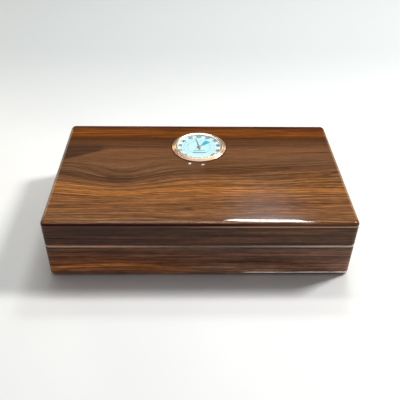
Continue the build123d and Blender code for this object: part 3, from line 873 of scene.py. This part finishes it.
def make_foam():
    """The humidifier's foam: a soft block with an open-celled, slightly uneven skin."""
    low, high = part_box("humidifier_foam")
    centre, half = (low + high) / 2, (high - low) / 2
    built = bmesh.new()
    bmesh.ops.create_cube(built, size=2.0)
    bmesh.ops.subdivide_edges(built, edges=built.edges, cuts=15, use_grid_fill=True)
    for vert in built.verts:
        place = Vector((vert.co.x * half.x, vert.co.y * half.y, vert.co.z * half.z)) / MM
        pull = 0.25 + 0.25 * noise.noise(place / 2.2)
        edge = max(0, abs(vert.co.x) - 0.9) + max(0, abs(vert.co.y) - 0.9)
        pull += 4.0 * edge * (abs(vert.co.z) > 0.9)
        inward = Vector([v / max(abs(v), 1e-9) for v in vert.co])
        inward = Vector([inward[i] * (abs(vert.co[i]) > 0.99) for i in range(3)])
        vert.co = centre + (place - inward * pull) * MM
    mesh = finish_mesh("humidifier_foam_block", built, 60)
    piece = new_piece("humidifier_foam_block", mesh, foam_green(), "lid")
    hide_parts("humidifier_foam")


# --- Materials of the CAD nodes ---

def dress(name, material):
    """Gives a CAD node that one material."""
    data = nodes[name].data
    data.materials.clear()
    data.materials.append(material)


def dress_box():
    """Walnut for the walls and the top, each wall between its left and its right tone."""
    dress("lid_top_panel", walnut_lid_top())
    walls = (
        ("lid_front", 21.0, (66, 42, 33), (72, 50, 38)),
        ("base_front", 27.0, (80, 52, 38), (88, 63, 52)),
        ("lid_back", 33.0, (76, 50, 36), (84, 58, 44)),
        ("base_back", 39.0, (80, 54, 40), (86, 60, 46)),
        ("lid_left", 45.0, (76, 50, 38), (84, 58, 44)),
        ("base_left", 51.0, (76, 50, 38), (84, 58, 44)),
        ("lid_right", 57.0, (76, 50, 38), (84, 58, 44)),
        ("base_right", 63.0, (76, 50, 38), (84, 58, 44)),
    )
    for wall, seed, left, right in walls:
        runs_back = wall.endswith(("left", "right"))
        arch = wall == "base_front"
        material = walnut_wall(f"walnut_{wall}", runs_back, seed, left, right, arch)
        dress(f"{wall}_wall", material)
    dress("base_bottom_panel", plywood())


def dress_lining():
    """Cedar for the boards inside, with the grain along each board."""
    long_board = cedar("cedar_long", "x", "z", 70.0)
    cross_board = cedar("cedar_cross", "y", "z", 76.0)
    flat_board = cedar("cedar_flat", "x", "y", 82.0)
    for name in nodes:
        if "lining" in name:
            if name.endswith(("left", "right")):
                dress(name, cross_board)
            elif name.endswith(("front", "back")):
                dress(name, long_board)
            else:
                dress(name, flat_board)
    dress("divider", cedar("cedar_divider", "y", "z", 88.0))


def dress_metal():
    """Brass, steel and nickel for the hinges, the hygrometer's movement and the humidifier."""
    hinge = metal("hinge_brass", colour(176, 132, 62), colour(232, 196, 116), 0.22, 0.002)
    steel = metal("ground_steel", colour(150, 150, 152), colour(206, 206, 208), 0.28, 0.003)
    movement = metal("movement_brass", colour(170, 130, 70), colour(224, 186, 112), 0.25, 0.001)
    pressed = metal("case_steel", colour(168, 168, 172), colour(214, 214, 218), 0.24, 0.001, "z")
    nickel = metal("magnet_nickel", colour(190, 186, 178), colour(226, 222, 214), 0.14, 0.0)
    for name in nodes:
        if name.startswith("hinge"):
            dress(name, steel if name.endswith("_pin") else hinge)
    for name in ("hygrometer_arbor", "hygrometer_coil", "hygrometer_adjuster"):
        dress(name, movement)
    dress("hygrometer_case", pressed)
    dress("humidifier_plate", steel)
    dress("humidifier_magnets", nickel)


def dress_rest():
    """Plastic, rubber, glass and the dial, and a plain solid under each replaced node."""
    black = moulded("black_plastic", colour(30, 30, 32), 0.5, 0.35, 0.02)
    dress("humidifier_case", black)
    dress("humidifier_grille", black)
    dress("hygrometer_grip_ring", moulded("rubber", colour(24, 24, 25), 0.7, 0.5, 0.03))
    dress("hygrometer_lens", glass())
    nodes["hygrometer_lens"].visible_diffuse = False
    dress("hygrometer_dial", dial_enamel())
    plain = moulded("hidden_solid", colour(90, 90, 90), 0.6, 0.5, 0.01)
    for name in ("hygrometer_bezel", "hygrometer_needle", "base_felt", "humidifier_foam"):
        dress(name, plain)


# --- Camera, floor and light ---

def make_camera():
    """The camera in front of the box, looking down at it, slightly turned and tilted."""
    pitch, yaw, roll = radians(38.276), radians(-1.5), radians(1.006)
    place = Matrix.Translation((-0.009256, -0.386416, 0.326112))
    forward = Vector((-sin(yaw) * cos(pitch), cos(yaw) * cos(pitch), -sin(pitch)))
    level_up = Vector((-sin(yaw) * sin(pitch), cos(yaw) * sin(pitch), cos(pitch)))
    level_right = Vector((cos(yaw), sin(yaw), 0))
    right = level_right * cos(roll) + level_up * sin(roll)
    up = level_up * cos(roll) - level_right * sin(roll)
    data = bpy.data.cameras.new("camera")
    data.lens = 47.844
    data.sensor_width = 36
    data.clip_start = 0.01
    camera = bpy.data.objects.new("camera", data)
    camera.matrix_world = place @ Matrix((right, up, -forward)).transposed().to_4x4()
    bpy.context.scene.collection.objects.link(camera)
    bpy.context.scene.camera = camera


def make_floor():
    """A plain pale floor, with painted shade that makes it a little darker far behind the box."""
    s = Shade("floor_paint")
    cloud = s.smooth(s.specks(160.0), 0.3, 0.7)
    near = s.mix(cloud, (0.86, 0.87, 0.88, 1), (0.90, 0.905, 0.91, 1))
    # Painted shade: the floor darkens far behind the box.
    shown = s.mix(s.smooth(s.y, 60, 420), near, (0.60, 0.63, 0.65, 1))
    s.set(colour=shown, roughness=0.45, specular=0.2, normal=s.bump(s.times(s.specks(4.0, 1.0), 0.004)))
    built = bmesh.new()
    bmesh.ops.create_grid(built, x_segments=12, y_segments=12, size=4.0)
    mesh = finish_mesh("floor", built)
    floor = bpy.data.objects.new("floor", mesh)
    floor.location.z = cad_box[0].z
    mesh.materials.append(s.material)
    bpy.context.scene.collection.objects.link(floor)


def area_light(name, place, target, size, size_y, radiance, tint):
    """A soft light that the camera doesn't see, given by its brightness for each unit of area."""
    data = bpy.data.lights.new(name, "AREA")
    data.shape = "RECTANGLE"
    data.size = size
    data.size_y = size_y
    data.energy = radiance * pi * size * size_y
    data.color = tint
    light = bpy.data.objects.new(name, data)
    light.location = place
    light.rotation_euler = (Vector(target) - Vector(place)).to_track_quat("-Z", "Y").to_euler()
    light.visible_camera = False
    bpy.context.scene.collection.objects.link(light)


def around(azimuth, elevation, distance):
    """A place seen from the lid's front edge, right of its middle, with angles in degrees. The
    azimuth goes from the back towards the right."""
    flat = cos(radians(elevation)) * distance
    right_of_middle = 0.05
    start = Vector((right_of_middle, -half_depth_mm * MM, lid_top_mm * MM))
    across = Vector((sin(radians(azimuth)), cos(radians(azimuth)), 0)) * flat
    return start + across + Vector((0, 0, sin(radians(elevation)) * distance))


def glow_card(name, corners, radiance, tint, faded=False):
    """A bright flat card that only lights and reflects. Its corners are azimuths and elevations.
    A faded one dims downwards and to its sides."""
    s = Shade(name)
    shown = s.mix(s.smooth(s.specks(900.0, 0.0), 0.3, 0.7), tint, scaled(tint, 0.96))
    built = bmesh.new()
    points = [around(azimuth, elevation, 1.6) for azimuth, elevation in corners]
    built.faces.new([built.verts.new(point) for point in points])
    level = radiance
    if faded:
        low, high = min(p.z for p in points) / MM, max(p.z for p in points) / MM
        left, right = min(p.x for p in points) / MM, max(p.x for p in points) / MM
        sides = s.bell(s.x, (left + right) / 2, (right - left) / 5)
        level = s.times(s.smooth(s.z, low, high), sides, radiance)
    glow = s.node("ShaderNodeEmission", Color=shown, Strength=level)
    s.put(s.output.inputs["Surface"], glow.outputs[0])
    mesh = bpy.data.meshes.new(name)
    built.to_mesh(mesh)
    built.free()
    mesh.materials.append(s.material)
    card = bpy.data.objects.new(name, mesh)
    card.visible_camera = False
    card.visible_shadow = False
    bpy.context.scene.collection.objects.link(card)


def upright(left, right, low, high):
    """The corners of a card between two azimuths and two elevations."""
    return ((left, low), (right, low), (right, high), (left, high))


def small_lamp(azimuth, elevation):
    """The corners of a small, wide lamp around that direction."""
    half_width, half_height = 0.22, 0.045
    return upright(
        azimuth - half_width, azimuth + half_width, elevation - half_height, elevation + half_height
    )


WINDOW = ((3.9, 48.9), (6.6, 46.3), (18.2, 46.3), (20.5, 48.6), (27.0, 51.0), (7.5, 50.8))
WINDOW_FRINGE = ((6.0, 46.3), (8.0, 43.0), (16.5, 43.0), (18.0, 46.3))
WINDOW_HALO = ((0.0, 46.3), (0.0, 32.0), (19.5, 32.0), (22.0, 46.3))


def make_lights():
    """Soft studio lights, and the bright cards that the lacquer and the bezel mirror.

    The lid's front edge mirrors the line and the window, the wood behind it the window's halo,
    the wood in front of the bezel the two lamps, and the bezel the side cards and the high one.
    """
    middle = (0, 0, 0.03)
    front_edge = (0.0, -half_depth_mm * MM, lid_top_mm * MM)
    area_light("key", (1.1, 0.42, 1.3), middle, 0.30, 0.30, 80.0, (1.0, 0.985, 0.96))
    area_light("top", (0.06, 0.57, 1.40), middle, 0.8, 0.14, 17.0, (1.0, 0.99, 0.97))
    area_light("overhead", (0, 0.03, 1.5), middle, 1.3, 0.62, 0.75, (1.0, 0.99, 0.98))
    area_light("line", around(-2.0, 52.6, 1.7), front_edge, 2.6, 0.03, 7.5, (1.0, 0.93, 0.84))
    glow_card("side_left", upright(-46, -29, 8, 25), 2.5, (1.0, 0.86, 0.5, 1))
    glow_card("side_right", upright(29, 46, 8, 25), 2.5, (1.0, 0.86, 0.5, 1))
    glow_card("high_left", upright(-86, -50, 44, 68), 1.0, (1.0, 0.93, 0.84, 1))
    glow_card("lamp_left", small_lamp(-2.39, 32.64), 28.0, (1.0, 0.98, 0.94, 1))
    glow_card("lamp_right", small_lamp(-0.31, 32.81), 20.0, (1.0, 0.97, 0.92, 1))
    glow_card("window", WINDOW, 32.0, (0.95, 1.0, 0.97, 1))
    glow_card("window_fringe", WINDOW_FRINGE, 4.0, (0.85, 0.95, 1.0, 1))
    glow_card("window_halo", WINDOW_HALO, 4.6, (0.64, 0.78, 0.92, 1), faded=True)
    world = bpy.data.worlds.new("studio")
    world.use_nodes = True
    background = world.node_tree.nodes["Background"]
    background.inputs["Color"].default_value = (0.95, 0.975, 1.0, 1)
    background.inputs["Strength"].default_value = 0.13
    bpy.context.scene.world = world
    bpy.context.scene.view_settings.view_transform = "Standard"


make_camera()
make_floor()
make_lights()
dress_box()
dress_lining()
dress_metal()
dress_rest()
make_hygrometer()
make_felt()
make_foam()
